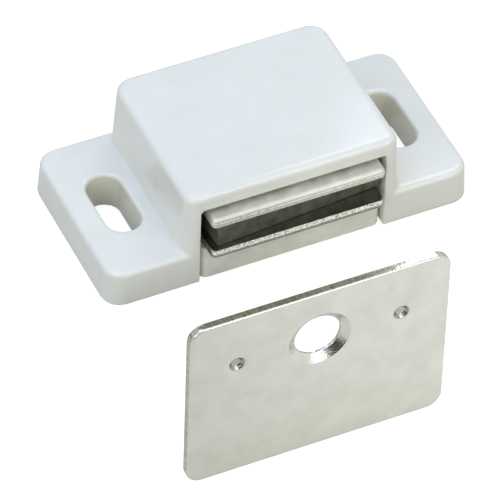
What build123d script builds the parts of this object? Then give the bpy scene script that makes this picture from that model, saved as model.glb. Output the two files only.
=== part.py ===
"""Magnetic cupboard catch with its strike plate.

Lengths are in millimetres. X runs along the catch, Z points away from the
mounting face and the pole plates face -Y. The origin is the middle of the
mounting face, halfway between the two screw slots.
"""
from build123d import *

import math
import os

# Housing: one moulding, a box with an ear at each end
body_length = 28.9
housing_depth = 23.2
body_height = 13.8
ear_length = 9.35
ear_thickness = 5.0
draft_angle = 3.0
body_front_radius = 1.6
body_back_radius = 2.3
ear_corner_radius = 2.4
body_edge_radius = 0.9
ear_edge_radius = 0.7

# Walls around the cavity that is open below
side_wall = 1.8
back_wall = 1.9
front_wall = 2.0
roof_thickness = 2.2

# Window in the front wall, between two pillars
pillar_width = 2.45
window_corner_radius = 0.5
window_edge_radius = 0.25

# Screw slots, long across the catch so that it can be set in or out
slot_offset = 3.65
slot_width = 4.4
slot_length = 9.65
slot_corner_radius = 2.1
slot_draft = 1.3
slot_edge_radius = 0.5

# Magnet pack: a ferrite block between two steel pole plates
plate_thickness = 1.3
magnet_height = 3.7
pole_reach = 1.6
magnet_front_step = 1.45
magnet_back_step = 1.0
magnet_side_step = 0.2
magnet_skew = 4.5
plate_corner_radius = 0.6
plate_rear_radius = 0.6
upper_plate_roll = 0.5
lower_plate_roll = 0.35

# Play that lets the pack line itself up with the strike plate
window_play = 0.8
cavity_play = 0.3
pack_headroom = 0.5
pack_seat_gap = 0.1
shoulder_gap = 0.1
float_travel = 0.6
float_margin = 0.1

# Stop ribs on the back wall of the cavity
rib_depth = 1.4
rib_width = 1.6
rib_spacing = 13.0

# Carrier: a tray snapped in from below, with its deck under the pack
carrier_front_step = 0.3
carrier_window_gap = 0.2
carrier_gap = 0.15
carrier_wall = 1.3
carrier_deck = 1.4
carrier_corner_radius = 1.1
carrier_rib = 1.2
carrier_rib_spacing = 8.0

# Snap ridges on the carrier's ends and their grooves in the housing
ridge_height = 0.35
ridge_width = 0.8
ridge_length = 7.0
ridge_level = 2.0
ridge_clearance = 0.1

# Strike plate, standing in front of the catch
strike_width = 32.4
strike_height = 24.9
strike_thickness = 1.0
strike_corner_radius = 2.0
strike_edge_radius = 0.22
strike_shift = 10.6
strike_distance = 27.9

# Screw hole and the two locating pips of the strike plate
hole_drop = 7.35
hole_diameter = 5.7
countersink_diameter = 7.7
countersink_depth = 0.65
pip_spacing = 20.5
dimple_diameter = 1.8
dimple_floor = 1.1
dimple_depth = 0.45
pip_diameter = 1.4
pip_point = 0.4
pip_height = 0.5

# Places worked out from the sizes above
overall_length = body_length + 2 * ear_length
front_y = -housing_depth / 2
cavity_top = body_height - roof_thickness
cavity_half = body_length / 2 - side_wall
cavity_front = front_y + front_wall
cavity_back = housing_depth / 2 - back_wall
window_half = body_length / 2 - pillar_width
slot_x = body_length / 2 + slot_offset

# The pillars' rounding stops short of the window, where draft leaves them narrowest
pillar_flat = pillar_width - cavity_top * math.tan(math.radians(draft_angle)) - window_edge_radius
pillar_radius = min(body_front_radius, pillar_flat)

pack_height = 2 * plate_thickness + magnet_height
pack_bottom = cavity_top - pack_headroom - pack_height
plate_front = front_y - pole_reach
plate_back = cavity_back - rib_depth - float_travel - float_margin
plate_half = cavity_half - cavity_play
tongue_half = window_half - window_play
shoulder_y = cavity_front + shoulder_gap
carrier_height = pack_bottom - pack_seat_gap
carrier_half = cavity_half - carrier_gap
strike_front = front_y - strike_distance - strike_thickness
hole_level = strike_height - hole_drop


def span(x_low, x_high, y_low, y_high, z_low, z_high):
    """Return the box between two corners, given as limits along each axis."""
    middle = Pos((x_low + x_high) / 2, (y_low + y_high) / 2, (z_low + z_high) / 2)
    return middle * Box(x_high - x_low, y_high - y_low, z_high - z_low)


def edges_along(shape, axis):
    """Return the straight edges of a shape that run along an axis."""
    return shape.edges().filter_by(axis)


def rising_edges(shape, height):
    """Return the corner edges of a block, which rise through most of its height."""
    return shape.edges().filter_by(lambda edge: edge.bounding_box().size.Z > height / 2)


def moulded_block(length, height, front_radius, back_radius, edge_radius):
    """Return a block with drafted ends and back, an upright front and a rounded top."""
    overhang = height
    outline = Pos(0, -overhang / 2) * Rectangle(length, housing_depth + overhang)
    blank = extrude(outline, height, taper=draft_angle)
    block = blank & span(-length, length, front_y, housing_depth, 0, height)
    block = fillet(rising_edges(block, height).group_by(Axis.Y)[0], front_radius)
    block = fillet(rising_edges(block, height).group_by(Axis.Y)[-1], back_radius)
    rim = block.faces().sort_by(Axis.Z)[-1].edges()
    return fillet(rim, edge_radius)


def slot_cutter(x):
    """Return the solid that cuts one screw slot, which narrows towards the mounting face."""
    outline = Pos(x, 0, ear_thickness) * RectangleRounded(slot_width, slot_length, slot_corner_radius)
    return extrude(outline, -ear_thickness, taper=slot_draft)


def window_cutter():
    """Return the solid that cuts the front window, open at the mounting face."""
    block = span(-window_half, window_half, 2 * front_y, cavity_front, -body_height, cavity_top)
    return fillet(edges_along(block, Axis.Y).group_by(Axis.Z)[-1], window_corner_radius)


def groove_cutter(side):
    """Return the solid that cuts a snap groove in one side wall (side is -1 or 1)."""
    half = ridge_length / 2 + ridge_clearance
    inner = cavity_half - ridge_clearance
    outer = carrier_half + ridge_height + ridge_clearance
    low = ridge_level - ridge_width / 2 - ridge_clearance
    high = ridge_level + ridge_width / 2 + ridge_clearance
    x_low, x_high = sorted((side * inner, side * outer))
    return span(x_low, x_high, -half, half, low, high)


def stop_rib(x):
    """Return one rib that stops the pack from sliding too far in."""
    low = carrier_height + carrier_gap
    face = cavity_back - rib_depth
    return span(x - rib_width / 2, x + rib_width / 2, face, cavity_back, low, cavity_top)


def make_housing():
    """Return the white moulding that is screwed to the cupboard."""
    ears = moulded_block(
        overall_length, ear_thickness, ear_corner_radius, ear_corner_radius, ear_edge_radius
    )
    body = moulded_block(
        body_length, body_height, pillar_radius, body_back_radius, body_edge_radius
    )
    cavity = span(-cavity_half, cavity_half, cavity_front, cavity_back, -body_height, cavity_top)
    housing = ears + body - cavity - window_cutter()
    for side in (-1, 1):
        housing -= slot_cutter(side * slot_x)
        housing -= groove_cutter(side)
        housing += stop_rib(side * rib_spacing / 2)

    slot_rims = housing.edges().filter_by(
        lambda edge: abs(edge.center().Z - ear_thickness) < 0.01
        and abs(abs(edge.center().X) - slot_x) <= slot_width / 2
        and abs(edge.center().Y) <= slot_length / 2
    )
    housing = fillet(slot_rims, slot_edge_radius)
    window_rim = housing.edges().filter_by(
        lambda edge: edge.center().Y < front_y + front_wall / 2
        and abs(edge.center().X) <= window_half + 0.01
        and 0 < edge.center().Z <= cavity_top + 0.01
    )
    return fillet(window_rim, window_edge_radius)


def pole_plate(bottom, roll_radius, roll_on_top):
    """Return one pole plate: a tongue in the window and shoulders behind the front wall.

    roll_radius is the rounding that punching leaves around one face of the
    tongue, and roll_on_top says which face has it.
    """
    top = bottom + plate_thickness
    tongue = span(-tongue_half, tongue_half, plate_front, shoulder_y, bottom, top)
    front_corners = edges_along(tongue, Axis.Z).group_by(Axis.Y)[0]
    tongue = fillet(front_corners, plate_corner_radius)
    rolled = tongue.faces().sort_by(Axis.Z)[-1 if roll_on_top else 0].edges()
    tongue = fillet(rolled.filter_by(lambda edge: edge.center().Y < shoulder_y - 0.01), roll_radius)
    tail = span(-plate_half, plate_half, shoulder_y, plate_back, bottom, top)
    tail = fillet(edges_along(tail, Axis.Z).group_by(Axis.Y)[-1], plate_rear_radius)
    return tongue + tail


def make_magnet():
    """Return the ferrite block, which was stuck a little askew between the pole plates."""
    half = tongue_half - magnet_side_step
    front = plate_front + magnet_front_step
    back = plate_back - magnet_back_step
    block = Box(2 * half, back - front, magnet_height)
    level = pack_bottom + plate_thickness + magnet_height / 2
    return Pos(0, (front + back) / 2, level) * Rot(0, 0, magnet_skew) * block


def make_carrier():
    """Return the tray that closes the housing from below and bears the pack."""
    front = front_y + carrier_front_step
    nose_half = window_half - carrier_window_gap
    neck = cavity_front + carrier_gap
    nose = span(-nose_half, nose_half, front, neck, 0, carrier_height)
    nose = fillet(edges_along(nose, Axis.Z).group_by(Axis.Y)[0], carrier_corner_radius)
    tray = span(-carrier_half, carrier_half, neck, cavity_back - carrier_gap, 0, carrier_height)
    hollow = span(
        carrier_wall - nose_half,
        nose_half - carrier_wall,
        front + carrier_wall,
        cavity_back - carrier_gap - carrier_wall,
        -carrier_height,
        carrier_height - carrier_deck,
    )
    carrier = nose + tray - hollow
    for side in (-1, 1):
        x = side * carrier_rib_spacing / 2
        back = cavity_back - carrier_gap - carrier_wall / 2
        carrier += span(
            x - carrier_rib / 2, x + carrier_rib / 2, front + carrier_wall / 2, back, 0, carrier_height
        )
    for side in (-1, 1):
        x_low, x_high = sorted((side * (carrier_half - carrier_wall / 2), side * (carrier_half + ridge_height)))
        low = ridge_level - ridge_width / 2
        carrier += span(x_low, x_high, -ridge_length / 2, ridge_length / 2, low, low + ridge_width)
    return carrier


def facing_front(diameter_at_back, diameter_at_front, length, x, y_front, z):
    """Return a cone or cylinder along Y whose front end lies at y_front."""
    middle = Pos(x, y_front + length / 2, z) * Rot(90, 0, 0)
    if math.isclose(diameter_at_back, diameter_at_front):
        return middle * Cylinder(diameter_at_front / 2, length)
    return middle * Cone(diameter_at_back / 2, diameter_at_front / 2, length)


def make_strike_plate():
    """Return the steel plate that is screwed to the door, countersink to the front."""
    half = strike_width / 2
    middle = -strike_shift
    back = strike_front + strike_thickness
    plate = span(middle - half, middle + half, strike_front, back, 0, strike_height)
    plate = fillet(edges_along(plate, Axis.Y), strike_corner_radius)
    plate = fillet(plate.faces().sort_by(Axis.Y)[0].edges(), strike_edge_radius)
    plate -= facing_front(
        hole_diameter, countersink_diameter, countersink_depth, middle, strike_front, hole_level
    )
    plate -= facing_front(
        hole_diameter, hole_diameter, strike_thickness, middle, strike_front, hole_level
    )
    for side in (-1, 1):
        x = middle + side * pip_spacing / 2
        plate += facing_front(pip_point, pip_diameter, pip_height, x, back, hole_level)
        plate -= facing_front(
            dimple_floor, dimple_diameter, dimple_depth, x, strike_front, hole_level
        )
    return plate


parts = {
    "housing": make_housing(),
    "magnet_carrier": make_carrier(),
    "lower_pole_plate": pole_plate(pack_bottom, lower_plate_roll, roll_on_top=False),
    "magnet": make_magnet(),
    "upper_pole_plate": pole_plate(
        pack_bottom + plate_thickness + magnet_height, upper_plate_roll, roll_on_top=True
    ),
    "strike_plate": make_strike_plate(),
}

os.makedirs("parts", exist_ok=True)
for name, shape in parts.items():
    export_step(shape, f"parts/{name}.step")
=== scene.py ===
"""Magnetic cupboard catch and its strike plate, modelled and finished for the studio.

Sizes in the classes are millimetres. Each mesh is shaped in millimetres and then
written in metres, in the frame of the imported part: X runs along the catch, Z
leaves the mounting face and the pole plates face -Y.
"""
from __future__ import annotations

import logging
import math
from collections.abc import Callable, Iterable, Mapping, Sequence
from dataclasses import dataclass, field
from enum import Enum
from typing import Protocol

import bmesh
import bpy
from bmesh.types import BMEdge, BMesh, BMFace, BMVert
from bpy.types import Material, Node, NodeTree, Object
from bpy.types import NodeSocket as Socket
from mathutils import Matrix, Vector, noise

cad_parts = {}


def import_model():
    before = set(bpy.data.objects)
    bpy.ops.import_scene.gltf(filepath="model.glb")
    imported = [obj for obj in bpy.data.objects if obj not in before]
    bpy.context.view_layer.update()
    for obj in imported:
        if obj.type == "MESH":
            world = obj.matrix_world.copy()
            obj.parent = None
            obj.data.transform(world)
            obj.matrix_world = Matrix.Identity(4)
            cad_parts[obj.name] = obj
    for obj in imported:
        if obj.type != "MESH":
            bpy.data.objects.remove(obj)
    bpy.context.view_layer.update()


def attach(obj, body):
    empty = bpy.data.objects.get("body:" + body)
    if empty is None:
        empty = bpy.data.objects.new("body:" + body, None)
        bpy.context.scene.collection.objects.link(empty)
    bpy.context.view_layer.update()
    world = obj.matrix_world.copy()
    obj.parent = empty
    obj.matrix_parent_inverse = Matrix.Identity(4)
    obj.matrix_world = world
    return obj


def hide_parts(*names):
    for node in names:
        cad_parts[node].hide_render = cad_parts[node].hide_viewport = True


LOG = logging.getLogger("magnetic_catch")
MM = 0.001


class Body(Enum):
    """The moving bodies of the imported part."""

    CATCH = "catch"
    PACK = "magnet_pack"
    STRIKE = "strike"


class Slot(Enum):
    """The record's material slots."""

    WHITE = "white_moulding"
    CARRIER = "carrier_moulding"
    POLE = "pole_steel"
    FERRITE = "ferrite"
    STRIKE = "strike_steel"


class Join(Enum):
    """The ways in which one solid is worked into another."""

    ADD = "UNION"
    CUT = "DIFFERENCE"


class Roll(Enum):
    """The face of a punched plate whose edge the punch rolled over."""

    LOWER = 0
    UPPER = -1


# Materials ---------------------------------------------------------------

# Numbers of the colour sockets of a Mix node
MIX_FACTOR, MIX_FIRST, MIX_SECOND, MIX_RESULT = 0, 6, 7, 2
# How squarely a surface looks along an axis, from where a change starts to its end
TILTED, LEVEL, SQUARE, DEAD_SQUARE = (0.3, 0.6), (0.5, 0.9), (0.75, 0.95), (0.9, 0.97)
# The setting that makes a Map Range node start and end its change softly
SMOOTH = {"interpolation_type": "SMOOTHSTEP"}


def linear(hex_colour: str) -> tuple[float, float, float, float]:
    """Turn an sRGB hex colour into the linear colour that a shader takes.

    Args:
        hex_colour: Six hex digits, red first.

    Returns:
        Linear red, green and blue, and an alpha of 1.
    """
    channels = [int(hex_colour[i : i + 2], 16) / 255 for i in (0, 2, 4)]
    red, green, blue = (
        c / 12.92 if c <= 0.04045 else ((c + 0.055) / 1.055) ** 2.4 for c in channels
    )
    return (red, green, blue, 1.0)


def add_node(
    tree: NodeTree,
    kind: str,
    inputs: Mapping[str | int, object] | Sequence[object] = (),
    **settings: object,
) -> Node:
    """Add a node with its settings, values and links.

    Args:
        tree: The node tree.
        kind: The end of the node's Blender type name, after ShaderNode.
        inputs: Values or output sockets for its inputs, in order or by name or number.
        settings: Properties of the node, by name.

    Returns:
        The new node.
    """
    node = tree.nodes.new("ShaderNode" + kind)
    for name, value in settings.items():
        setattr(node, name, value)
    given = inputs if isinstance(inputs, Mapping) else dict(enumerate(inputs))
    for name, value in given.items():
        if isinstance(value, Socket):
            tree.links.new(value, node.inputs[name])
        else:
            node.inputs[name].default_value = value
    return node


@dataclass
class Recipe:
    """A material under construction, with its patterns measured in millimetres."""

    name: str

    def __post_init__(self) -> None:
        """Start the material with nothing in it but its coordinates."""
        self.material = bpy.data.materials.new(self.name)
        self.material.use_nodes = True
        self.tree = self.material.node_tree
        self.tree.nodes.clear()
        self.place = self.add("TexCoord", output="Object")

    def add(
        self,
        kind: str,
        inputs: Mapping[str | int, object] | Sequence[object] = (),
        output: str | int = 0,
        **settings: object,
    ) -> Socket:
        """Add a node of any kind and return one of its outputs.

        Args:
            kind: The end of the node's Blender type name, after ShaderNode.
            inputs: Values or output sockets for its inputs, as in add_node.
            output: Name or number of the output.
            settings: Properties of the node, by name.

        Returns:
            The output.
        """
        return add_node(self.tree, kind, inputs, **settings).outputs[output]

    def pattern(
        self, kind: str, size: float, detail: float = 2.0, place: Socket | None = None
    ) -> Socket:
        """Add a random texture, noise or cells, by its real size.

        Args:
            kind: The texture's kind, as in add.
            size: Size of its cells in millimetres.
            detail: Octaves of finer grain.
            place: Coordinates, where they aren't the plain ones.

        Returns:
            The pattern, from 0 to 1.
        """
        scale = 1 / (size * MM)
        inputs = {"Vector": place or self.place, "Scale": scale, "Detail": detail}
        return self.add(kind, inputs)

    def facing(self, name: str) -> Socket:
        """Return how squarely the surface looks along an axis, from 0 to 1.

        Args:
            name: The axis, X, Y or Z.

        Returns:
            The share.
        """
        normal = self.add("TexCoord", output="Normal")
        part = self.add("SeparateXYZ", (normal,), name)
        return self.add("Math", (part,), operation="ABSOLUTE")

    def product(self, first: Socket, *others: object) -> Socket:
        """Return a socket multiplied by others, or by numbers.

        Args:
            first: The socket.
            others: Sockets or numbers.

        Returns:
            The product.
        """
        for other in others:
            first = self.add("Math", (first, other), operation="MULTIPLY")
        return first

    def near(self, value: Socket, centre: float, reach: float, blur: float) -> Socket:
        """Mark where a value is near another.

        Args:
            value: The value, in metres.
            centre: What it is compared with, in millimetres.
            reach: How far from it the mark ends, in millimetres.
            blur: Width of the mark's soft border, in millimetres.

        Returns:
            A socket that is 1 near the centre and 0 beyond the reach.
        """
        gap = self.add("Math", (value, centre * MM), operation="SUBTRACT")
        off = self.add("Math", (gap,), operation="ABSOLUTE")
        border = (off, (reach - blur) * MM, reach * MM, 1.0, 0.0)
        return self.add("MapRange", border, **SMOOTH)

    def shades(
        self, pattern: Socket, deep: str, pale: str, change: float = 0.4
    ) -> Socket:
        """Return a colour that follows a pattern.

        Args:
            pattern: The pattern, from 0 to 1.
            deep: Its low colour, in hex.
            pale: Its high colour, in hex.
            change: How much of the pattern, about its middle, the change takes.

        Returns:
            The colour.
        """
        node = add_node(self.tree, "ValToRGB", (pattern,))
        stops = ((0.5 - change / 2, deep), (0.5 + change / 2, pale))
        for element, (place, colour) in zip(node.color_ramp.elements, stops):
            element.position = place
            element.color = linear(colour)
        return node.outputs["Color"]

    def covered(self, colour: object, *layers: tuple[Socket, object]) -> Socket:
        """Return a colour that others cover in turn, each where its mark is 1.

        Args:
            colour: The colour below.
            layers: Each layer's mark and colour.

        Returns:
            The colour that shows.
        """
        for mark, cover in layers:
            ends = {MIX_FACTOR: mark, MIX_FIRST: colour, MIX_SECOND: cover}
            colour = self.add("Mix", ends, MIX_RESULT, data_type="RGBA")
        return colour

    def relief(self, *layers: tuple[Socket, float]) -> Socket:
        """Return a normal raised by layers of height, each with a depth in mm.

        Args:
            layers: Each layer's height and depth.

        Returns:
            The normal.
        """
        normal: dict[str, Socket] = {}
        for height, depth in layers:
            layer = {"Height": height, "Strength": 1.0, "Distance": depth * MM}
            normal = {"Normal": self.add("Bump", layer | normal)}
        return normal["Normal"]

    def finish(self, **inputs: object) -> Material:
        """Close the material with its one shader, whose inputs are named here.

        Args:
            inputs: Values or sockets, with _ for a space in a name.

        Returns:
            The material.
        """
        named = {name.replace("_", " "): value for name, value in inputs.items()}
        shader = self.add("BsdfPrincipled", named)
        add_node(self.tree, "OutputMaterial", {"Surface": shader})
        return self.material


class Finish(Protocol):
    """A finish that can be made into a material."""

    def make(self) -> Material:
        """Build the material."""


@dataclass(frozen=True)
class MouldedAbs:
    """White ABS, injection moulded in a polished tool.

    The skin is a clean gloss with a faint flow mottle, and light goes a little way
    in, which lifts the shade in corners. The slots' walls carry a painted shade,
    darker and yellower than the skin.
    """

    name: str = "moulded_white_abs"
    pale: str = "EBECE6"
    deep: str = "E7E8E1"
    mottle: float = 4.0
    orange_peel: float = 0.7
    peel_depth: float = 0.0015
    roughness: float = 0.13
    scatter: float = 1.2
    # The slots, from the part's origin, and the painted shade, darker and yellower, on
    # their walls
    slot_centre: float = 18.1
    slot_reach: tuple[float, float] = (2.6, 5.4)
    slot_blur: float = 0.2
    slot_painted_shade: str = "DEDDCF"

    def in_slots(self, recipe: Recipe) -> Socket:
        """Mark the upright walls of the two slots, which take a painted shade.

        Args:
            recipe: The material under construction.

        Returns:
            A socket that is 1 there and 0 elsewhere.
        """
        across, lengthwise = self.slot_reach
        place = add_node(recipe.tree, "SeparateXYZ", (recipe.place,)).outputs
        side = recipe.add("Math", (place["X"],), operation="ABSOLUTE")
        tilt = recipe.facing("Z")
        upright = recipe.add("MapRange", (tilt, *LEVEL, 1.0, 0.0), **SMOOTH)
        return recipe.product(
            recipe.near(side, self.slot_centre, across, self.slot_blur),
            recipe.near(place["Y"], 0.0, lengthwise, self.slot_blur),
            upright,
        )

    def make(self) -> Material:
        """Build the material.

        Returns:
            The material.
        """
        recipe = Recipe(self.name)
        mottle = recipe.pattern("TexNoise", self.mottle, detail=3.0)
        peel = recipe.pattern("TexNoise", self.orange_peel)
        skin = recipe.shades(mottle, self.deep, self.pale)
        # The slots' walls take a painted shade, darker and yellower than the skin
        slots = (self.in_slots(recipe), linear(self.slot_painted_shade))
        return recipe.finish(
            Base_Color=recipe.covered(skin, slots),
            Roughness=self.roughness,
            IOR=1.5,
            Subsurface_Weight=0.25,
            Subsurface_Radius=(1.0, 0.85, 0.7),
            Subsurface_Scale=self.scatter * MM,
            Normal=recipe.relief((peel, self.peel_depth)),
        )


@dataclass(frozen=True)
class MouldedNylon:
    """Natural nylon, moulded with a fine spark-eroded texture.

    It is greyer and duller than the white moulding and slightly milky.
    """

    name: str = "moulded_natural_nylon"
    pale: str = "EBEBE1"
    deep: str = "E1E1D6"
    mottle: float = 2.0
    texture: float = 0.16
    texture_depth: float = 0.006
    roughness: float = 0.5
    scatter: float = 0.8

    def make(self) -> Material:
        """Build the material.

        Returns:
            The material.
        """
        recipe = Recipe(self.name)
        mottle = recipe.pattern("TexNoise", self.mottle, detail=4.0)
        texture = recipe.pattern("TexNoise", self.texture)
        return recipe.finish(
            Base_Color=recipe.shades(mottle, self.deep, self.pale, change=0.3),
            Roughness=self.roughness,
            IOR=1.53,
            Subsurface_Weight=0.15,
            Subsurface_Radius=(1.0, 0.9, 0.7),
            Subsurface_Scale=self.scatter * MM,
            Normal=recipe.relief((texture, self.texture_depth)),
        )


@dataclass(frozen=True)
class PunchedSteel:
    """Mild steel strip, nickel plated after punching.

    The faces keep the strip's satin. The punch burnishes one half of the edge and
    tears the other. The torn half, whose grain is drawn about twice as coarse as it
    is so that it shows, sparkles partly from its bumps and partly from painted glints
    in its colour. The burr's bright broken line is a painted glint over its real
    polish.
    """

    name: str
    # Heights above the mounting face: where the tear starts and where it is full,
    # and the middle and the reach of the burr
    tear: tuple[float, float]
    burr: tuple[float, float]
    burnished_and_painted_shade: str
    torn_pale: str
    torn_deep: str
    face_pale: str
    face_deep: str
    roughness: float
    # Near white: a painted glint along the burr
    burr_glint: str = "FBFAF4"
    burr_polish: float = 0.4
    dash: float = 0.4
    dash_range: tuple[float, float] = (0.4, 0.5)
    cloud: float = 1.3
    cloud_range: tuple[float, float] = (0.35, 0.7)
    cloudiness: float = 0.1
    torn_grain: float = 0.2
    torn_depth: float = 0.045
    strip_grain: float = 0.22
    strip_depth: float = 0.0089
    waver: float = 0.3

    def on_burr(self, recipe: Recipe, wall: Socket, height: Socket) -> Socket:
        """Mark the broken line of the burr, which only a wall carries and which takes a
        painted glint.

        Args:
            recipe: The material under construction.
            wall: Marks the walls.
            height: Height above the mounting face, in metres.

        Returns:
            A socket that is 1 there and 0 elsewhere.
        """
        level, reach = self.burr
        line = recipe.near(height, level, reach, reach / 2)
        broken = recipe.pattern("TexNoise", self.dash, detail=3.0)
        dashes = recipe.add("MapRange", (broken, *self.dash_range), **SMOOTH)
        return recipe.product(wall, line, dashes)

    def make(self) -> Material:
        """Build the material.

        Returns:
            The material.
        """
        recipe = Recipe(self.name)
        cloud = recipe.pattern("TexNoise", self.cloud, detail=4.0)
        torn = recipe.pattern("TexNoise", self.torn_grain, detail=3.0)
        strip = recipe.pattern("TexNoise", self.strip_grain, detail=3.0)
        height = recipe.add("SeparateXYZ", (recipe.place,), "Z")
        tilt = recipe.facing("Y")
        front = recipe.add("MapRange", (tilt, *SQUARE), **SMOOTH)
        wall = recipe.add("MapRange", (tilt, *TILTED), **SMOOTH)
        burr = self.on_burr(recipe, wall, height)
        # The tear's border wavers, because the strip gives way unevenly
        waver = (cloud, self.waver * MM, height)
        border = recipe.add("Math", waver, operation="MULTIPLY_ADD")
        low, high = (level * MM for level in self.tear)
        zone = recipe.add("MapRange", (border, low, high), **SMOOTH)
        rough = recipe.shades(torn, self.torn_deep, self.torn_pale, change=0.16)
        # On the lower plate the burnished band and the faces carry painted shade
        edge = recipe.covered(linear(self.burnished_and_painted_shade), (zone, rough))
        face = recipe.shades(cloud, self.face_deep, self.face_pale)
        least, most = (
            (1 + side * self.cloudiness) * self.roughness for side in (-1, 1)
        )
        clouded = (cloud, *self.cloud_range, least, most)
        satin = recipe.add("MapRange", clouded, **SMOOTH)
        polished = (burr, 0.0, 1.0, 1.0, self.burr_polish)
        polish = recipe.add("MapRange", polished, **SMOOTH)
        # The burr's line is painted near white, a painted glint, over the edge's
        # colours
        return recipe.finish(
            Base_Color=recipe.covered(
                face, (front, edge), (burr, linear(self.burr_glint))
            ),
            Metallic=1.0,
            Roughness=recipe.product(satin, polish),
            Normal=recipe.relief(
                (recipe.product(strip, self.roughness), self.strip_depth),
                (recipe.product(torn, zone, wall), self.torn_depth),
            ),
        )


@dataclass(frozen=True)
class GroundFerrite:
    """Sintered strontium ferrite, ground flat.

    It is a near-black ceramic with a dull, slightly metallic grain and open pores.
    """

    name: str = "ground_sintered_ferrite"
    pale: str = "636257"
    deep: str = "3B3B33"
    cloud: float = 1.6
    pore: float = 0.4
    pore_depth: float = 0.006

    def make(self) -> Material:
        """Build the material.

        Returns:
            The material.
        """
        recipe = Recipe(self.name)
        cloud = recipe.pattern("TexNoise", self.cloud, detail=6.0)
        pores = recipe.pattern("TexVoronoi", self.pore, detail=0.0)
        return recipe.finish(
            Base_Color=recipe.shades(cloud, self.deep, self.pale),
            Metallic=0.1,
            Roughness=0.55,
            Normal=recipe.relief((pores, self.pore_depth)),
        )


@dataclass(frozen=True)
class SatinNickel:
    """Mild steel sheet, tumbled and plated with satin nickel.

    Tumbling leaves a fine matte grain with soft cloudy patches a few millimetres
    wide. The punched edge stays bare of it: darker, shinier and streaked across.
    The grain is drawn coarser than it is so that it shows.
    """

    name: str = "satin_nickel_plated_steel"
    pale: str = "D8D9D2"
    deep: str = "CFD0C8"
    edge_pale: str = "CFCEC0"
    edge_deep: str = "9A998B"
    cloud: float = 2.6
    cloud_range: tuple[float, float] = (0.3, 0.7)
    grain: float = 0.25
    grain_depth: float = 0.003
    dent: float = 5.0
    dent_depth: float = 0.006
    streak: float = 0.22
    streak_along: float = 0.15
    chatter: float = 0.22
    chatter_depth: float = 0.03
    satin: tuple[float, float] = (0.42, 0.36)
    pressed_polish: float = 0.5
    edge_polish: float = 0.45
    # The pips' dimples, from the part's origin, and the painted shade in them, darker
    # on their walls
    dimple_middle: float = -10.6
    dimple_offset: float = 10.25
    dimple_level: float = 17.55
    dimple_depth: float = -40.17
    dimple_reach: float = 1.4
    dimple_sink: float = 0.3
    side_blur: float = 0.2
    dimple_blur: float = 0.15
    # Painted shade in the dimples, and darker painted shade on their walls
    dimple_painted_shade: str = "B8B6AB"
    dimple_wall_painted_shade: str = "9C9A8E"

    def in_dimples(self, recipe: Recipe) -> Socket:
        """Mark the two dimples, which take a painted shade.

        Args:
            recipe: The material under construction.

        Returns:
            A socket that is 1 there and 0 elsewhere.
        """
        reach, blur = self.dimple_reach, self.dimple_blur
        place = add_node(recipe.tree, "SeparateXYZ", (recipe.place,)).outputs
        ends = (place["X"], self.dimple_middle * MM)
        off = recipe.add("Math", ends, operation="SUBTRACT")
        side = recipe.add("Math", (off,), operation="ABSOLUTE")
        return recipe.product(
            recipe.near(side, self.dimple_offset, reach, self.side_blur),
            recipe.near(place["Z"], self.dimple_level, reach, blur),
            recipe.near(place["Y"], self.dimple_depth, self.dimple_sink, blur),
        )

    def make(self) -> Material:
        """Build the material.

        Returns:
            The material.
        """
        recipe = Recipe(self.name)
        cloud = recipe.pattern("TexNoise", self.cloud, detail=5.0)
        dents = recipe.pattern("TexNoise", self.dent, detail=1.0)
        grain = recipe.pattern("TexNoise", self.grain)
        drawn = {"Vector": recipe.place, "Scale": (1.0, self.streak_along, 1.0)}
        across = recipe.add("Mapping", drawn)
        streaks = recipe.pattern("TexNoise", self.streak, detail=3.0, place=across)
        tilt = recipe.facing("Y")
        face = recipe.add("MapRange", (tilt, *TILTED), **SMOOTH)
        pressed = recipe.add("MapRange", (tilt, *DEAD_SQUARE, 1.0, 0.0), **SMOOTH)
        edge = recipe.shades(streaks, self.edge_deep, self.edge_pale, change=0.3)
        flat = recipe.shades(cloud, self.deep, self.pale)
        # Painted shade in the dimples, darker on their pressed walls
        burnished_and_painted_shade = recipe.covered(
            linear(self.dimple_painted_shade), (pressed, linear(self.dimple_wall_painted_shade))
        )
        # The roughness of each zone, and of the clouds over them
        shares = (
            recipe.add("MapRange", ends, **SMOOTH)
            for ends in (
                (pressed, 0.0, 1.0, 1.0, self.pressed_polish),
                (face, 0.0, 1.0, self.edge_polish, 1.0),
                (cloud, *self.cloud_range, *self.satin),
            )
        )
        chatter = recipe.pattern("TexNoise", self.chatter, detail=3.0)
        return recipe.finish(
            Base_Color=recipe.covered(
                edge, (face, flat), (self.in_dimples(recipe), burnished_and_painted_shade)
            ),
            Metallic=1.0,
            Roughness=recipe.product(*shares),
            Normal=recipe.relief(
                (dents, self.dent_depth),
                (grain, self.grain_depth),
                (recipe.product(pressed, face, chatter), self.chatter_depth),
            ),
        )


# Modelling ---------------------------------------------------------------

EdgeTest = Callable[[Vector, Vector], bool]
# Places closer than this, in millimetres, are taken as one
CLOSE = 0.01
# Vertices closer than this, in millimetres, are joined
WELD = 1e-4
# How squarely an edge or a face lies along an axis to count as lying so
SQUARELY = 0.9
# Level, in millimetres, from which a tool cuts up into an underside
BELOW = -1.0


def along(way: Vector, axis: str) -> bool:
    """Tell whether a direction runs along the axis x, y or z."""
    return abs(getattr(way, axis)) > SQUARELY


def box(bm: BMesh, low: Sequence[float], high: Sequence[float]) -> list[BMVert]:
    """Add a box between two corners.

    Args:
        bm: The mesh that takes it.
        low: Its low corner.
        high: Its high corner.

    Returns:
        Its vertices.
    """
    verts = bmesh.ops.create_cube(bm, size=1.0)["verts"]
    low, high = Vector(low), Vector(high)
    bmesh.ops.scale(bm, verts=verts, vec=high - low)
    bmesh.ops.translate(bm, verts=verts, vec=(low + high) / 2)
    return verts


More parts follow.
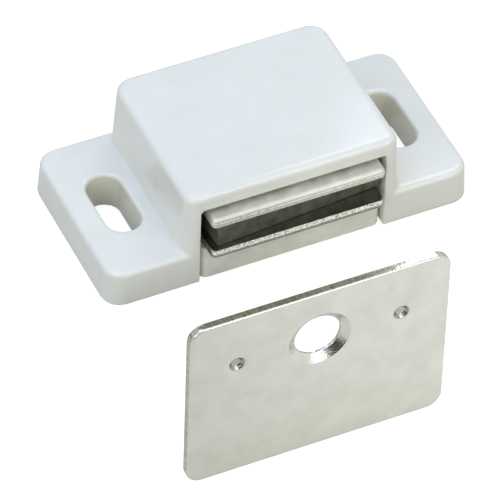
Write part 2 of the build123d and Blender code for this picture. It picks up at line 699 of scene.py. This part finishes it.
def pick(bm: BMesh, test: EdgeTest) -> list[BMEdge]:
    """Return the edges whose middle and direction pass a test.

    Args:
        bm: The mesh.
        test: Takes an edge's middle and its direction.

    Returns:
        The edges.
    """
    chosen = []
    for edge in bm.edges:
        start, end = (vert.co for vert in edge.verts)
        if test((start + end) / 2, (end - start).normalized()):
            chosen.append(edge)
    return chosen


def round_off(bm: BMesh, edges: Iterable[BMEdge], radius: float, segments: int) -> None:
    """Round edges to a radius.

    Args:
        bm: The mesh.
        edges: The edges to round.
        radius: Radius in millimetres.
        segments: Faces across the rounding.
    """
    bmesh.ops.bevel(
        bm,
        geom=list(edges),
        offset=radius,
        offset_type="OFFSET",
        segments=segments,
        profile=0.5,
        affect="EDGES",
        material=-1,
        clamp_overlap=True,
    )


def to_object(bm: BMesh, name: str) -> Object:
    """Turn a mesh in millimetres into an object in metres, and free the mesh.

    Args:
        bm: The mesh, in millimetres.
        name: Name of the object.

    Returns:
        The object, in metres.
    """
    bmesh.ops.scale(bm, verts=bm.verts, vec=(MM, MM, MM))
    mesh = bpy.data.meshes.new(name)
    bm.to_mesh(mesh)
    bm.free()
    piece = bpy.data.objects.new(name, mesh)
    bpy.context.scene.collection.objects.link(piece)
    return piece


def settle(piece: Object) -> None:
    """Apply a piece's modifiers to its mesh.

    Args:
        piece: The piece.
    """
    graph = bpy.context.evaluated_depsgraph_get()
    mesh = bpy.data.meshes.new_from_object(piece.evaluated_get(graph))
    piece.modifiers.clear()
    old, piece.data = piece.data, mesh
    bpy.data.meshes.remove(old)
    mesh.name = piece.name


def combine(piece: Object, tool: Object, join: Join) -> None:
    """Work one solid into another, and remove the tool.

    Args:
        piece: The solid that is kept.
        tool: The solid that is added to it or cut out of it.
        join: Whether it is added or cut.
    """
    modifier = piece.modifiers.new("work", "BOOLEAN")
    modifier.operation = join.value
    modifier.solver = "EXACT"
    modifier.object = tool
    settle(piece)
    bpy.data.objects.remove(tool, do_unlink=True)


def smooth_faces(piece: Object, sharp_angle: float) -> None:
    """Shade a piece smooth, but for its edges sharper than an angle in degrees.

    Large faces keep their own direction, so that a flat stays flat beside a rounding.

    Args:
        piece: The piece.
        sharp_angle: The angle from which an edge stays sharp.
    """
    mesh = piece.data
    mesh.shade_smooth()
    mesh.set_sharp_from_angle(angle=math.radians(sharp_angle))
    even = piece.modifiers.new("even", "WEIGHTED_NORMAL")
    even.keep_sharp = True
    even.weight = 100
    settle(piece)


def dress(piece: Object, node: str, body: Body, material: Material) -> None:
    """Finish a piece and let it stand for a node of the part.

    Args:
        piece: The piece.
        node: The node that it replaces.
        body: The body that carries it.
        material: Its material.
    """
    piece.data.materials.clear()
    piece.data.materials.append(material)
    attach(piece, body.value)
    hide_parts(node)
    LOG.info("%s: %d faces", piece.name, len(piece.data.polygons))


@dataclass
class Tee:
    """A T-shaped plan: a tongue towards -Y and wider shoulders behind it."""

    tongue_half: float
    tail_half: float
    front: float
    shoulder: float
    back: float

    def slab(
        self, bottom: float, top: float, front_radius: float, back_radius: float
    ) -> BMesh:
        """Raise the plan into a slab with rounded front and back corners.

        Args:
            bottom: Height of its lower face.
            top: Height of its upper face.
            front_radius: Radius of the tongue's two corners.
            back_radius: Radius of the tail's two corners.

        Returns:
            The slab.
        """
        bm = bmesh.new()
        half = [
            (self.tongue_half, self.front),
            (self.tongue_half, self.shoulder),
            (self.tail_half, self.shoulder),
            (self.tail_half, self.back),
        ]
        corners = half + [(-x, y) for x, y in reversed(half)]
        plan = bm.faces.new([bm.verts.new((x, y, bottom)) for x, y in corners])
        raised = bmesh.ops.extrude_face_region(bm, geom=[plan])["geom"]
        rising = [item for item in raised if isinstance(item, BMVert)]
        bmesh.ops.translate(bm, verts=rising, vec=(0, 0, top - bottom))
        bmesh.ops.recalc_face_normals(bm, faces=bm.faces)
        for edge_y, radius, segments in (
            (self.front, front_radius, 10),
            (self.back, back_radius, 5),
        ):
            corners = pick(
                bm, lambda at, way: along(way, "z") and abs(at.y - edge_y) < CLOSE
            )
            round_off(bm, corners, radius, segments)
        return bm


@dataclass
class Housing:
    """The white moulding: a box with an ear at each end, open below."""

    body_length: float = 28.9
    depth: float = 23.2
    body_height: float = 13.8
    ear_length: float = 9.35
    ear_thickness: float = 5.0
    draft: float = 3.0
    body_front_radius: float = 1.59
    body_back_radius: float = 2.3
    ear_corner_radius: float = 2.4
    body_edge_radius: float = 0.9
    ear_edge_radius: float = 0.7
    side_wall: float = 1.8
    back_wall: float = 1.9
    front_wall: float = 2.0
    roof: float = 2.2
    pillar: float = 2.45
    window_corner: float = 0.5
    slot_offset: float = 3.65
    slot_width: float = 4.4
    slot_length: float = 9.65
    slot_corner: float = 2.1
    slot_draft: float = 1.3
    slot_rim: float = 0.5
    slot_corner_steps: int = 12
    slot_rim_steps: int = 8
    rib_depth: float = 1.4
    rib_width: float = 1.6
    rib_spacing: float = 13.0
    rib_foot: float = 4.85
    # How far a tool reaches past the face that it cuts, or a rib into its wall
    over: float = 0.5
    window_over: float = 0.2
    sunk: float = 0.3
    # The moulding's skin: its cells, its smoothing and the share of faces it keeps
    skin: float = 0.13
    softness: int = 3
    kept: float = 0.2

    def block(
        self,
        length: float,
        height: float,
        front_radius: float,
        back_radius: float,
        edge_radius: float,
    ) -> Object:
        """Model a drafted block with an upright front and a rounded top.

        Args:
            length: Length at the mounting face.
            height: Height of its top.
            front_radius: Radius of the two front corners.
            back_radius: Radius of the two back corners.
            edge_radius: Radius round the top.

        Returns:
            The block.
        """
        bm = bmesh.new()
        half = self.depth / 2
        lean = height * math.tan(math.radians(self.draft))
        for vert in box(bm, (-length / 2, -half, 0), (length / 2, half, height)):
            if vert.co.z > height / 2:
                vert.co.x -= math.copysign(lean, vert.co.x)
                vert.co.y -= lean if vert.co.y > 0 else 0.0
        for side, radius in ((-1, front_radius), (1, back_radius)):
            corners = pick(
                bm, lambda at, way: along(way, "z") and side * at.y > half / 2
            )
            round_off(bm, corners, radius, segments=10)
        rim = pick(bm, lambda at, way: at.z > height - CLOSE)
        round_off(bm, rim, edge_radius, segments=8)
        return to_object(bm, "housing_block")

    def slot_ring(self, bm: BMesh, x: float, z: float, grow: float) -> list[BMVert]:
        """Add the slot's outline at one height.

        Args:
            bm: The mesh that takes it.
            x: Place of the slot along the catch.
            z: Height of the outline.
            grow: How far it stands outside the slot's own outline.

        Returns:
            Its vertices, in order.
        """
        reach_x = self.slot_width / 2 - self.slot_corner
        reach_y = self.slot_length / 2 - self.slot_corner
        steps = self.slot_corner_steps
        verts = []
        for corner, (side_x, side_y) in enumerate(((1, 1), (-1, 1), (-1, -1), (1, -1))):
            for step in range(steps + 1):
                turn = math.radians(90 * (corner + step / steps))
                reach = self.slot_corner + grow
                at = (
                    x + side_x * reach_x + reach * math.cos(turn),
                    side_y * reach_y + reach * math.sin(turn),
                    z,
                )
                verts.append(bm.verts.new(at))
        return verts

    def slot_cutter(self, x: float) -> Object:
        """Model the solid that cuts one slot, narrow below and round at the rim.

        Args:
            x: Place of the slot along the catch.

        Returns:
            The cutter.
        """
        bm = bmesh.new()
        top, rim, over = self.ear_thickness, self.slot_rim, self.over
        slope = math.tan(math.radians(self.slot_draft))
        # Each ring's height, and how far it stands outside the slot's outline
        profile = [(-over, -(top + over) * slope), (top - rim, -rim * slope)]
        for step in range(1, self.slot_rim_steps + 1):
            turn = math.radians(90 * step / self.slot_rim_steps)
            rise, grow = rim * (1 - math.sin(turn)), rim * (1 - math.cos(turn))
            profile.append((top - rise, grow))
        profile.append((top + over, rim))
        rings = [self.slot_ring(bm, x, z, grow) for z, grow in profile]
        for lower, upper in zip(rings, rings[1:]):
            for i, vert in enumerate(lower):
                bm.faces.new((lower[i - 1], vert, upper[i], upper[i - 1]))
        bm.faces.new(rings[0])
        bm.faces.new(rings[-1])
        bmesh.ops.recalc_face_normals(bm, faces=bm.faces)
        return to_object(bm, "slot_cutter")

    def hollow(self) -> Object:
        """Model the solid that hollows the box and opens its window.

        Returns:
            The cutter.
        """
        bm = bmesh.new()
        top = self.body_height - self.roof
        half = self.body_length / 2 - self.side_wall
        front = self.front_wall - self.depth / 2
        back = self.depth / 2 - self.back_wall
        box(bm, (-half, front, BELOW), (half, back, top))
        return to_object(bm, "hollow_cutter")

    def window(self) -> Object:
        """Model the solid that cuts the window between the pillars.

        Returns:
            The cutter.
        """
        bm = bmesh.new()
        half = self.body_length / 2 - self.pillar
        inner = self.front_wall - self.depth / 2 + self.window_over
        top = self.body_height - self.roof
        box(bm, (-half, -self.depth, BELOW), (half, inner, top))
        corners = pick(bm, lambda at, way: along(way, "y") and at.z > 0)
        round_off(bm, corners, self.window_corner, segments=6)
        return to_object(bm, "window_cutter")

    def stop_rib(self, x: float) -> Object:
        """Model one rib that stops the magnet pack.

        Args:
            x: Place of its middle along the catch.

        Returns:
            The rib.
        """
        bm = bmesh.new()
        back = self.depth / 2 - self.back_wall
        roof = self.body_height - self.roof
        box(
            bm,
            (x - self.rib_width / 2, back - self.rib_depth, self.rib_foot),
            (x + self.rib_width / 2, back + self.sunk, roof + self.sunk),
        )
        return to_object(bm, "stop_rib")

    def mould(self) -> Object:
        """Model the whole moulding and soften its edges as plastic leaves a tool.

        Returns:
            The moulding.
        """
        overall = self.body_length + 2 * self.ear_length
        corner = self.ear_corner_radius
        piece = self.block(
            overall, self.ear_thickness, corner, corner, self.ear_edge_radius
        )
        body = self.block(
            self.body_length,
            self.body_height,
            self.body_front_radius,
            self.body_back_radius,
            self.body_edge_radius,
        )
        combine(piece, body, Join.ADD)
        combine(piece, self.hollow(), Join.CUT)
        combine(piece, self.window(), Join.CUT)
        slot_x = self.body_length / 2 + self.slot_offset
        for side in (-1, 1):
            combine(piece, self.slot_cutter(side * slot_x), Join.CUT)
            combine(piece, self.stop_rib(side * self.rib_spacing / 2), Join.ADD)
        piece.name = "white_housing"
        return piece

    def soften(self, piece: Object) -> None:
        """Skin a moulding finely, smooth the skin, and thin it on the flats.

        Args:
            piece: The moulding.
        """
        skin = piece.modifiers.new("skin", "REMESH")
        skin.mode = "VOXEL"
        skin.voxel_size = self.skin * MM
        soft = piece.modifiers.new("soft", "SMOOTH")
        soft.factor = 0.5
        soft.iterations = self.softness
        thin = piece.modifiers.new("thin", "DECIMATE")
        thin.ratio = self.kept
        settle(piece)

    def build(self, finish: Finish) -> None:
        """Build and dress the housing.

        Args:
            finish: Its finish.
        """
        piece = self.mould()
        self.soften(piece)
        smooth_faces(piece, sharp_angle=60.0)
        dress(piece, "housing", Body.CATCH, finish.make())


@dataclass
class Carrier:
    """The tray that closes the housing from below and bears the magnet pack."""

    plan: Tee = field(default_factory=lambda: Tee(11.8, 12.5, -11.3, -9.45, 9.55))
    height: float = 4.7
    deck: float = 1.4
    wall: float = 1.3
    corner_radius: float = 1.1
    rib: float = 1.2
    rib_spacing: float = 8.0
    ridge_height: float = 0.35
    ridge_width: float = 0.8
    ridge_length: float = 7.0
    ridge_level: float = 2.0
    ridge_radius: float = 0.25
    pocket_radius: float = 0.3
    rear_radius: float = 0.3
    edge_radius: float = 0.12

    def pocket(self, low_x: float, high_x: float) -> Object:
        """Model the solid that cuts one pocket of the underside.

        Args:
            low_x: Its left end.
            high_x: Its right end.

        Returns:
            The cutter.
        """
        bm = bmesh.new()
        front, back = self.plan.front + self.wall, self.plan.back - self.wall
        box(bm, (low_x, front, BELOW), (high_x, back, self.height - self.deck))
        corners = pick(bm, lambda at, way: along(way, "z"))
        round_off(bm, corners, self.pocket_radius, segments=3)
        return to_object(bm, "pocket_cutter")

    def ridge(self, side: float) -> Object:
        """Model one snap ridge, a rounded bar along the tray's end.

        Args:
            side: The tray's end, -1 for left or 1 for right.

        Returns:
            The ridge.
        """
        bm = bmesh.new()
        half = self.ridge_width / 2
        end = self.plan.tail_half
        inner, outer = end - self.wall / 2, end + self.ridge_height
        low_x, high_x = sorted((side * inner, side * outer))
        box(
            bm,
            (low_x, -self.ridge_length / 2, self.ridge_level - half),
            (high_x, self.ridge_length / 2, self.ridge_level + half),
        )
        crest = pick(bm, lambda at, way: along(way, "y") and abs(at.x) > end)
        round_off(bm, crest, self.ridge_radius, segments=4)
        return to_object(bm, "snap_ridge")

    def build(self, finish: Finish) -> None:
        """Build and dress the carrier.

        Args:
            finish: Its finish.
        """
        bm = self.plan.slab(0, self.height, self.corner_radius, self.rear_radius)
        level_edges = pick(bm, lambda at, way: not along(way, "z"))
        round_off(bm, level_edges, self.edge_radius, segments=3)
        piece = to_object(bm, "magnet_tray")
        inner = self.plan.tongue_half - self.wall
        near = (self.rib_spacing - self.rib) / 2
        far = near + self.rib
        for low_x, high_x in ((-inner, -far), (-near, near), (far, inner)):
            combine(piece, self.pocket(low_x, high_x), Join.CUT)
        for side in (-1, 1):
            combine(piece, self.ridge(side), Join.ADD)
        smooth_faces(piece, sharp_angle=35.0)
        dress(piece, "magnet_carrier", Body.CATCH, finish.make())


@dataclass(frozen=True)
class PolePlate:
    """One pole plate: its place, how the punch left its edges, and its finish."""

    name: str
    node: str
    bottom: float
    roll: Roll
    roll_radius: float
    burr_radius: float
    steel: PunchedSteel


LOWER_POLE = PolePlate(
    name="lower_pole",
    node="lower_pole_plate",
    bottom=4.8,
    roll=Roll.LOWER,
    roll_radius=0.35,
    burr_radius=0.1,
    # A shaded copy of the upper plate's steel: its faces and burnished band are painted
    # darker, a painted shade under the magnet and beside the carrier, and its torn
    # band's near-white specks are painted glints
    steel=PunchedSteel(
        name="punched_steel_lower_pole_painted_shade",
        tear=(5.4, 5.6),
        burr=(5.7, 0.3),
        burnished_and_painted_shade="94917F",
        torn_pale="FFFEF6",
        torn_deep="8E8C80",
        face_pale="ACAA9E",
        face_deep="8E8B82",
        roughness=0.2,
    ),
)
UPPER_POLE = PolePlate(
    name="upper_pole",
    node="upper_pole_plate",
    bottom=9.8,
    roll=Roll.UPPER,
    roll_radius=0.5,
    burr_radius=0.2,
    steel=PunchedSteel(
        name="punched_steel_upper_pole",
        tear=(10.54, 10.29),
        burr=(10.52, 0.13),
        burnished_and_painted_shade="CAC8BC",
        torn_pale="E6E4D8",
        torn_deep="BEBCB0",
        face_pale="DEDCD2",
        face_deep="C8C6BB",
        roughness=0.6,
    ),
)


@dataclass
class MagnetPack:
    """The ferrite block between its two pole plates."""

    plan: Tee = field(default_factory=lambda: Tee(11.2, 12.35, -13.2, -9.5, 7.6))
    plates: tuple[PolePlate, ...] = (LOWER_POLE, UPPER_POLE)
    thickness: float = 1.3
    corner_radius: float = 0.6
    rear_radius: float = 0.6
    magnet_half: float = 11.0
    magnet_front: float = -11.75
    magnet_back: float = 6.6
    magnet_bottom: float = 6.1
    magnet_height: float = 3.7
    magnet_skew: float = 4.5
    magnet_chamfer: float = 0.15
    magnet_cuts: tuple[int, int] = (90, 12)
    # Depth, and waves per millimetre, of the unevenness of the magnet's front
    magnet_wave: tuple[float, float] = (0.06, 1.1)
    magnet_wave_reach: float = 0.4
    tear_pitch: float = 0.2
    tear_depth: float = 0.035
    # Share, and waves per millimetre, of each layer of the tear
    tear_waves: tuple[tuple[float, float], ...] = ((1.0, 2.9), (0.6, 7.3))

    def tear(self, bm: BMesh, bottom: float) -> None:
        """Roughen the front wall of a plate as the punch tears it.

        Args:
            bm: The plate.
            bottom: Height of its lower face.
        """
        reach = self.plan.tongue_half - self.corner_radius
        top = bottom + self.thickness
        wall = [
            face
            for face in bm.faces
            if face.normal.y < -SQUARELY
            and face.calc_center_median().y < self.plan.front + CLOSE
        ]
        for low, high, way in (
            (-reach, reach, Vector((1, 0, 0))),
            (bottom, top, Vector((0, 0, 1))),
        ):
            count = int((high - low) / self.tear_pitch)
            for step in range(1, count):
                at = way * (low + (high - low) * step / count)
                wall = [face for face in wall if face.is_valid]
                edges = {edge for face in wall for edge in face.edges}
                verts = {vert for face in wall for vert in face.verts}
                cut = bmesh.ops.bisect_plane(
                    bm,
                    geom=wall + list(edges | verts),
                    plane_co=at,
                    plane_no=way,
                    dist=WELD / 10,
                )["geom"]
                wall = [item for item in cut if isinstance(item, BMFace)]
        inner = {vert for face in wall if face.is_valid for vert in face.verts}
        for vert in inner:
            if all(face.normal.y < -SQUARELY for face in vert.link_faces):
                rough = sum(
                    share * noise.noise(vert.co * waves)
                    for share, waves in self.tear_waves
                )
                vert.co.y += self.tear_depth * rough

    def pole_plate(self, plate: PolePlate) -> BMesh:
        """Model one punched pole plate.

        Args:
            plate: The plate's sizes.

        Returns:
            The plate.
        """
        bottom, top = plate.bottom, plate.bottom + self.thickness
        bm = self.plan.slab(bottom, top, self.corner_radius, self.rear_radius)
        rolled, burred = (top, bottom) if plate.roll is Roll.UPPER else (bottom, top)
        for level, size, segments in (
            (rolled, plate.roll_radius, 6),
            (burred, plate.burr_radius, 3),
        ):
            rim = pick(
                bm,
                lambda at, way: abs(at.z - level) < CLOSE
                and at.y < self.plan.shoulder - CLOSE,
            )
            round_off(bm, rim, size, segments)
        self.tear(bm, bottom)
        return bm

    def magnet(self) -> BMesh:
        """Model the ferrite block, askew, with broken edges and an uneven front.

        Returns:
            The block.
        """
        bm = bmesh.new()
        front, back = self.magnet_front, self.magnet_back
        low, high = self.magnet_bottom, self.magnet_bottom + self.magnet_height
        box(bm, (-self.magnet_half, front, low), (self.magnet_half, back, high))
        round_off(bm, bm.edges, self.magnet_chamfer, segments=2)
        long_cuts, short_cuts = self.magnet_cuts
        long_edges = pick(bm, lambda at, way: along(way, "x"))
        bmesh.ops.subdivide_edges(
            bm, edges=long_edges, cuts=long_cuts, use_grid_fill=True
        )
        short_edges = pick(
            bm, lambda at, way: along(way, "z") and at.y < front + CLOSE
        )
        bmesh.ops.subdivide_edges(
            bm, edges=short_edges, cuts=short_cuts, use_grid_fill=True
        )
        depth, waves = self.magnet_wave
        for vert in bm.verts:
            if vert.co.y < front + self.magnet_wave_reach:
                vert.co.y += depth * noise.noise(vert.co * waves) ** 2
        askew = Matrix.Rotation(math.radians(self.magnet_skew), 3, "Z")
        middle = (0, (front + back) / 2, 0)
        bmesh.ops.rotate(bm, verts=bm.verts, cent=middle, matrix=askew)
        return bm

    def build(self, ferrite: Finish) -> None:
        """Build and dress the two plates and the magnet.

        Args:
            ferrite: The magnet's finish.
        """
        for plate in self.plates:
            piece = to_object(self.pole_plate(plate), plate.name)
            smooth_faces(piece, sharp_angle=40.0)
            dress(piece, plate.node, Body.PACK, plate.steel.make())
        piece = to_object(self.magnet(), "ferrite_block")
        smooth_faces(piece, sharp_angle=40.0)
        dress(piece, "magnet", Body.PACK, ferrite.make())


@dataclass
class StrikePlate:
    """The steel plate for the door, with its countersunk hole and two pips."""

    middle: float = -10.6
    front: float = -40.5
    width: float = 32.4
    height: float = 24.9
    thickness: float = 1.0
    corner_radius: float = 2.0
    roll: float = 0.22
    burr: float = 0.05
    hole_drop: float = 7.35
    pip_spacing: float = 20.5
    turn_steps: int = 72
    # Profiles, as radius and depth behind the front face
    hole_profile: tuple[tuple[float, float], ...] = (
        (3.93, 0.0), (3.87, 0.02), (3.83, 0.06), (2.9, 0.66), (2.86, 0.7),
        (2.84, 0.76), (2.84, 0.95), (2.89, 1.0),
    )
    dimple_profile: tuple[tuple[float, float], ...] = (
        (2.1, 0.0), (1.8, 0.007), (1.5, 0.022), (1.2, 0.055), (1.02, 0.09),
        (0.92, 0.14), (0.84, 0.21), (0.73, 0.32), (0.62, 0.43), (0.52, 0.47),
        (0.35, 0.48), (0.0, 0.48),
    )
    pip_profile: tuple[tuple[float, float], ...] = (
        (0.9, 1.0), (0.76, 1.02), (0.68, 1.08), (0.5, 1.25), (0.3, 1.42),
        (0.16, 1.48), (0.0, 1.5),
    )

    def turned(
        self, bm: BMesh, profile: Sequence[tuple[float, float]], x: float, z: float
    ) -> None:
        """Spin a profile about an axis through the plate.

        Args:
            bm: The mesh that takes the surface.
            profile: Radius and depth of each ring.
            x: Place of the axis along the plate.
            z: Height of the axis.
        """
        line = [
            bm.verts.new((x + radius, self.front + depth, z))
            for radius, depth in profile
        ]
        edges = [bm.edges.new(pair) for pair in zip(line, line[1:])]
        bmesh.ops.spin(
            bm,
            geom=line + edges,
            cent=(x, self.front, z),
            axis=(0, 1, 0),
            angle=math.tau,
            steps=self.turn_steps,
            use_merge=True,
        )

    def rim(self) -> BMesh:
        """Model the plate's outer wall, rolled at the front and sharp at the back.

        Returns:
            The wall, open at both faces.
        """
        bm = bmesh.new()
        left, right = self.middle - self.width / 2, self.middle + self.width / 2
        front, back = self.front, self.front + self.thickness
        box(bm, (left, front, 0), (right, back, self.height))
        for test, radius, segments in (
            (lambda at, way: along(way, "y"), self.corner_radius, 10),
            (lambda at, way: at.y < front + CLOSE, self.roll, 5),
            (lambda at, way: at.y > back - CLOSE, self.burr, 2),
        ):
            round_off(bm, pick(bm, test), radius, segments)
        caps = [face for face in bm.faces if abs(face.normal.y) > 0.99]
        bmesh.ops.delete(bm, geom=caps, context="FACES_ONLY")
        return bm

    def build(self, finish: Finish) -> None:
        """Build and dress the strike plate.

        Args:
            finish: Its finish.
        """
        bm = self.rim()
        level = self.height - self.hole_drop
        self.turned(bm, self.hole_profile, self.middle, level)
        for side in (-1, 1):
            x = self.middle + side * self.pip_spacing / 2
            self.turned(bm, self.dimple_profile, x, level)
            self.turned(bm, self.pip_profile, x, level)
        bmesh.ops.remove_doubles(bm, verts=bm.verts, dist=WELD)
        for face_y in (self.front, self.front + self.thickness):
            rims = [
                edge
                for edge in bm.edges
                if edge.is_boundary
                and all(abs(vert.co.y - face_y) < WELD for vert in edge.verts)
            ]
            bmesh.ops.triangle_fill(bm, edges=rims, use_beauty=True, normal=(0, 1, 0))
        bmesh.ops.recalc_face_normals(bm, faces=bm.faces)
        piece = to_object(bm, "strike")
        smooth_faces(piece, sharp_angle=35.0)
        dress(piece, "strike_plate", Body.STRIKE, finish.make())


# Studio ------------------------------------------------------------------


@dataclass(frozen=True)
class SoftBox:
    """One rectangular lamp with a white diffuser."""

    name: str
    place: tuple[float, float, float]
    size: tuple[float, float]
    watts: float
    colour: str = "FFFFFF"
    aim: tuple[float, float, float] = (0.0, -15.0, 6.0)

    def hang(self) -> None:
        """Hang the lamp and aim it."""
        data = bpy.data.lights.new(self.name, "AREA")
        data.shape = "RECTANGLE"
        data.size, data.size_y = (length * MM for length in self.size)
        data.energy = self.watts
        data.color = linear(self.colour)[:3]
        lamp = bpy.data.objects.new(self.name, data)
        lamp.location = Vector(self.place) * MM
        way = Vector(self.aim) - Vector(self.place)
        lamp.rotation_euler = way.to_track_quat("-Z", "Y").to_euler()
        bpy.context.scene.collection.objects.link(lamp)


@dataclass(frozen=True)
class Flag:
    """One shaded card, which only reflections see."""

    name: str
    place: tuple[float, float, float]
    size: tuple[float, float]
    aim: tuple[float, float, float]
    shade: str

    def stand(self) -> None:
        """Stand the card and face it to its aim."""
        bm = bmesh.new()
        bmesh.ops.create_grid(bm, x_segments=1, y_segments=1, size=0.5)
        bmesh.ops.scale(bm, verts=bm.verts, vec=(*self.size, 1.0))
        way = Vector(self.aim) - Vector(self.place)
        turn = way.to_track_quat("Z", "Y").to_matrix()
        bmesh.ops.rotate(bm, verts=bm.verts, cent=(0, 0, 0), matrix=turn)
        bmesh.ops.translate(bm, verts=bm.verts, vec=self.place)
        card = to_object(bm, self.name)
        board = Recipe(f"{self.name}_board")
        matte = board.finish(Base_Color=linear(self.shade), Roughness=0.9)
        card.data.materials.append(matte)
        for ray in ("camera", "diffuse", "transmission", "volume_scatter", "shadow"):
            setattr(card, f"visible_{ray}", False)


@dataclass
class Studio:
    """The camera, the lamps, the shaded cards, the sky and the paper floor."""

    azimuth: float = 26.286
    elevation: float = 45.474
    roll: float = 2.208
    lens: float = 400.47
    place: tuple[float, float, float] = (-209.776, -425.039, 471.584)
    sky_strength: float = 0.52
    sky_colour: str = "FCFCF2"
    # The paper, its drop below the object's foot, and the glow that keeps it white
    paper: str = "BAB9AF"
    paper_half: float = 3000.0
    paper_drop: float = 0.03
    camera_glow: float = 0.78
    # The glow that reflections see: it grows along X and falls behind the plate
    gloss_glow: tuple[float, float] = (0.36, 0.6)
    gloss_grows: tuple[float, float] = (-35.0, 10.0)
    gloss_falls: tuple[float, float] = (-46.0, -36.0)
    glow_behind: float = 0.65
    boxes: tuple[SoftBox, ...] = (
        SoftBox("top_box", (-88, 50, 330), (280, 280), 0.465, "A8C3FF"),
        SoftBox("left_box", (-166, -130, 130), (120, 120), 0.14, "F4F8FF"),
        SoftBox("front_strip", (110, -320, 250), (220, 30), 0.26, "FFFFF8"),
        SoftBox("low_strip", (83, -313, 104), (120, 60), 0.07, "FFFFFF"),
        SoftBox("back_strip", (88, 86, 169), (58, 58), 0.045, "F0F6FF", (-2, -40, 25)),
    )
    flags: tuple[Flag, ...] = (
        Flag("back_flag", (-15.8, 54.3, 131.8), (120, 50), (-62.0, -40, 25), "CCCAC0"),
        Flag("front_flag", (-28, -86.5, 20), (34, 36), (-10.6, -40, 17.5), "3C3C37"),
        Flag("side_flag", (-120, -190, 24), (120, 56), (-12, -40, 17), "34342F"),
    )

    def camera(self) -> None:
        """Set up the camera."""
        data = bpy.data.cameras.new("camera")
        data.sensor_width = 36.0
        data.lens = self.lens
        data.clip_start = 0.01
        camera = bpy.data.objects.new("camera", data)
        turn = (
            Matrix.Rotation(-math.radians(self.azimuth), 4, "Z")
            @ Matrix.Rotation(math.radians(90 - self.elevation), 4, "X")
            @ Matrix.Rotation(math.radians(self.roll), 4, "Z")
        )
        camera.matrix_world = Matrix.Translation(Vector(self.place) * MM) @ turn
        bpy.context.scene.collection.objects.link(camera)
        bpy.context.scene.camera = camera

    def sky(self) -> None:
        """Light the object evenly from all round, before a white backdrop."""
        world = bpy.data.worlds.new("sky")
        bpy.context.scene.world = world
        world.use_nodes = True
        tree = world.node_tree
        tree.nodes.clear()
        path = add_node(tree, "LightPath")
        seen = path.outputs["Is Camera Ray"]
        for ray in ("Is Glossy Ray", "Is Transmission Ray"):
            either = (seen, path.outputs[ray])
            seen = add_node(tree, "Math", either, operation="MAXIMUM").outputs[0]
        soft = add_node(
            tree,
            "Background",
            {"Color": linear(self.sky_colour), "Strength": self.sky_strength},
        )
        white = add_node(tree, "Background", {"Color": linear("FFFFFF")})
        ends = (seen, soft.outputs[0], white.outputs[0])
        mix = add_node(tree, "MixShader", ends)
        add_node(tree, "OutputWorld", {"Surface": mix.outputs[0]})

    def floor(self) -> None:
        """Lay the white paper that the object stands on."""
        bm = bmesh.new()
        bmesh.ops.create_grid(bm, x_segments=1, y_segments=1, size=self.paper_half)
        bmesh.ops.translate(bm, verts=bm.verts, vec=(0, 0, -self.paper_drop))
        sheet = to_object(bm, "paper_floor")
        recipe = Recipe("white_paper")
        path = add_node(recipe.tree, "LightPath").outputs
        to_camera = recipe.product(path["Is Camera Ray"], self.camera_glow)
        rays = (path["Is Glossy Ray"], path["Is Transmission Ray"])
        mirrored = recipe.add("Math", rays, operation="MAXIMUM")
        place = add_node(recipe.tree, "SeparateXYZ", (recipe.place,)).outputs
        low, high = (x * MM for x in self.gloss_grows)
        ends = (place["X"], low, high, *self.gloss_glow)
        growing = recipe.add("MapRange", ends, **SMOOTH)
        low, high = (y * MM for y in self.gloss_falls)
        ends = (place["Y"], low, high, 1.0, self.glow_behind)
        falling = recipe.add("MapRange", ends, **SMOOTH)
        to_gloss = recipe.product(mirrored, growing, falling)
        glow = recipe.add("Math", (to_camera, to_gloss), operation="ADD")
        white = {"Color": linear("FFFFFF"), "Strength": glow}
        paper = recipe.add("BsdfDiffuse", {"Color": linear(self.paper)})
        both = recipe.add("AddShader", (paper, recipe.add("Emission", white)))
        add_node(recipe.tree, "OutputMaterial", {"Surface": both})
        sheet.data.materials.append(recipe.material)

    def build(self) -> None:
        """Set up the whole studio."""
        bpy.context.scene.view_settings.view_transform = "Standard"
        self.camera()
        self.sky()
        self.floor()
        for lamp in self.boxes:
            lamp.hang()
        for flag in self.flags:
            flag.stand()


def main() -> None:
    """Build the studio and the object."""
    logging.basicConfig(level=logging.INFO, format="%(name)s: %(message)s")
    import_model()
    Studio().build()
    Housing().build(MouldedAbs())
    Carrier().build(MouldedNylon())
    MagnetPack().build(GroundFerrite())
    StrikePlate().build(SatinNickel())


if __name__ == "__main__":
    main()
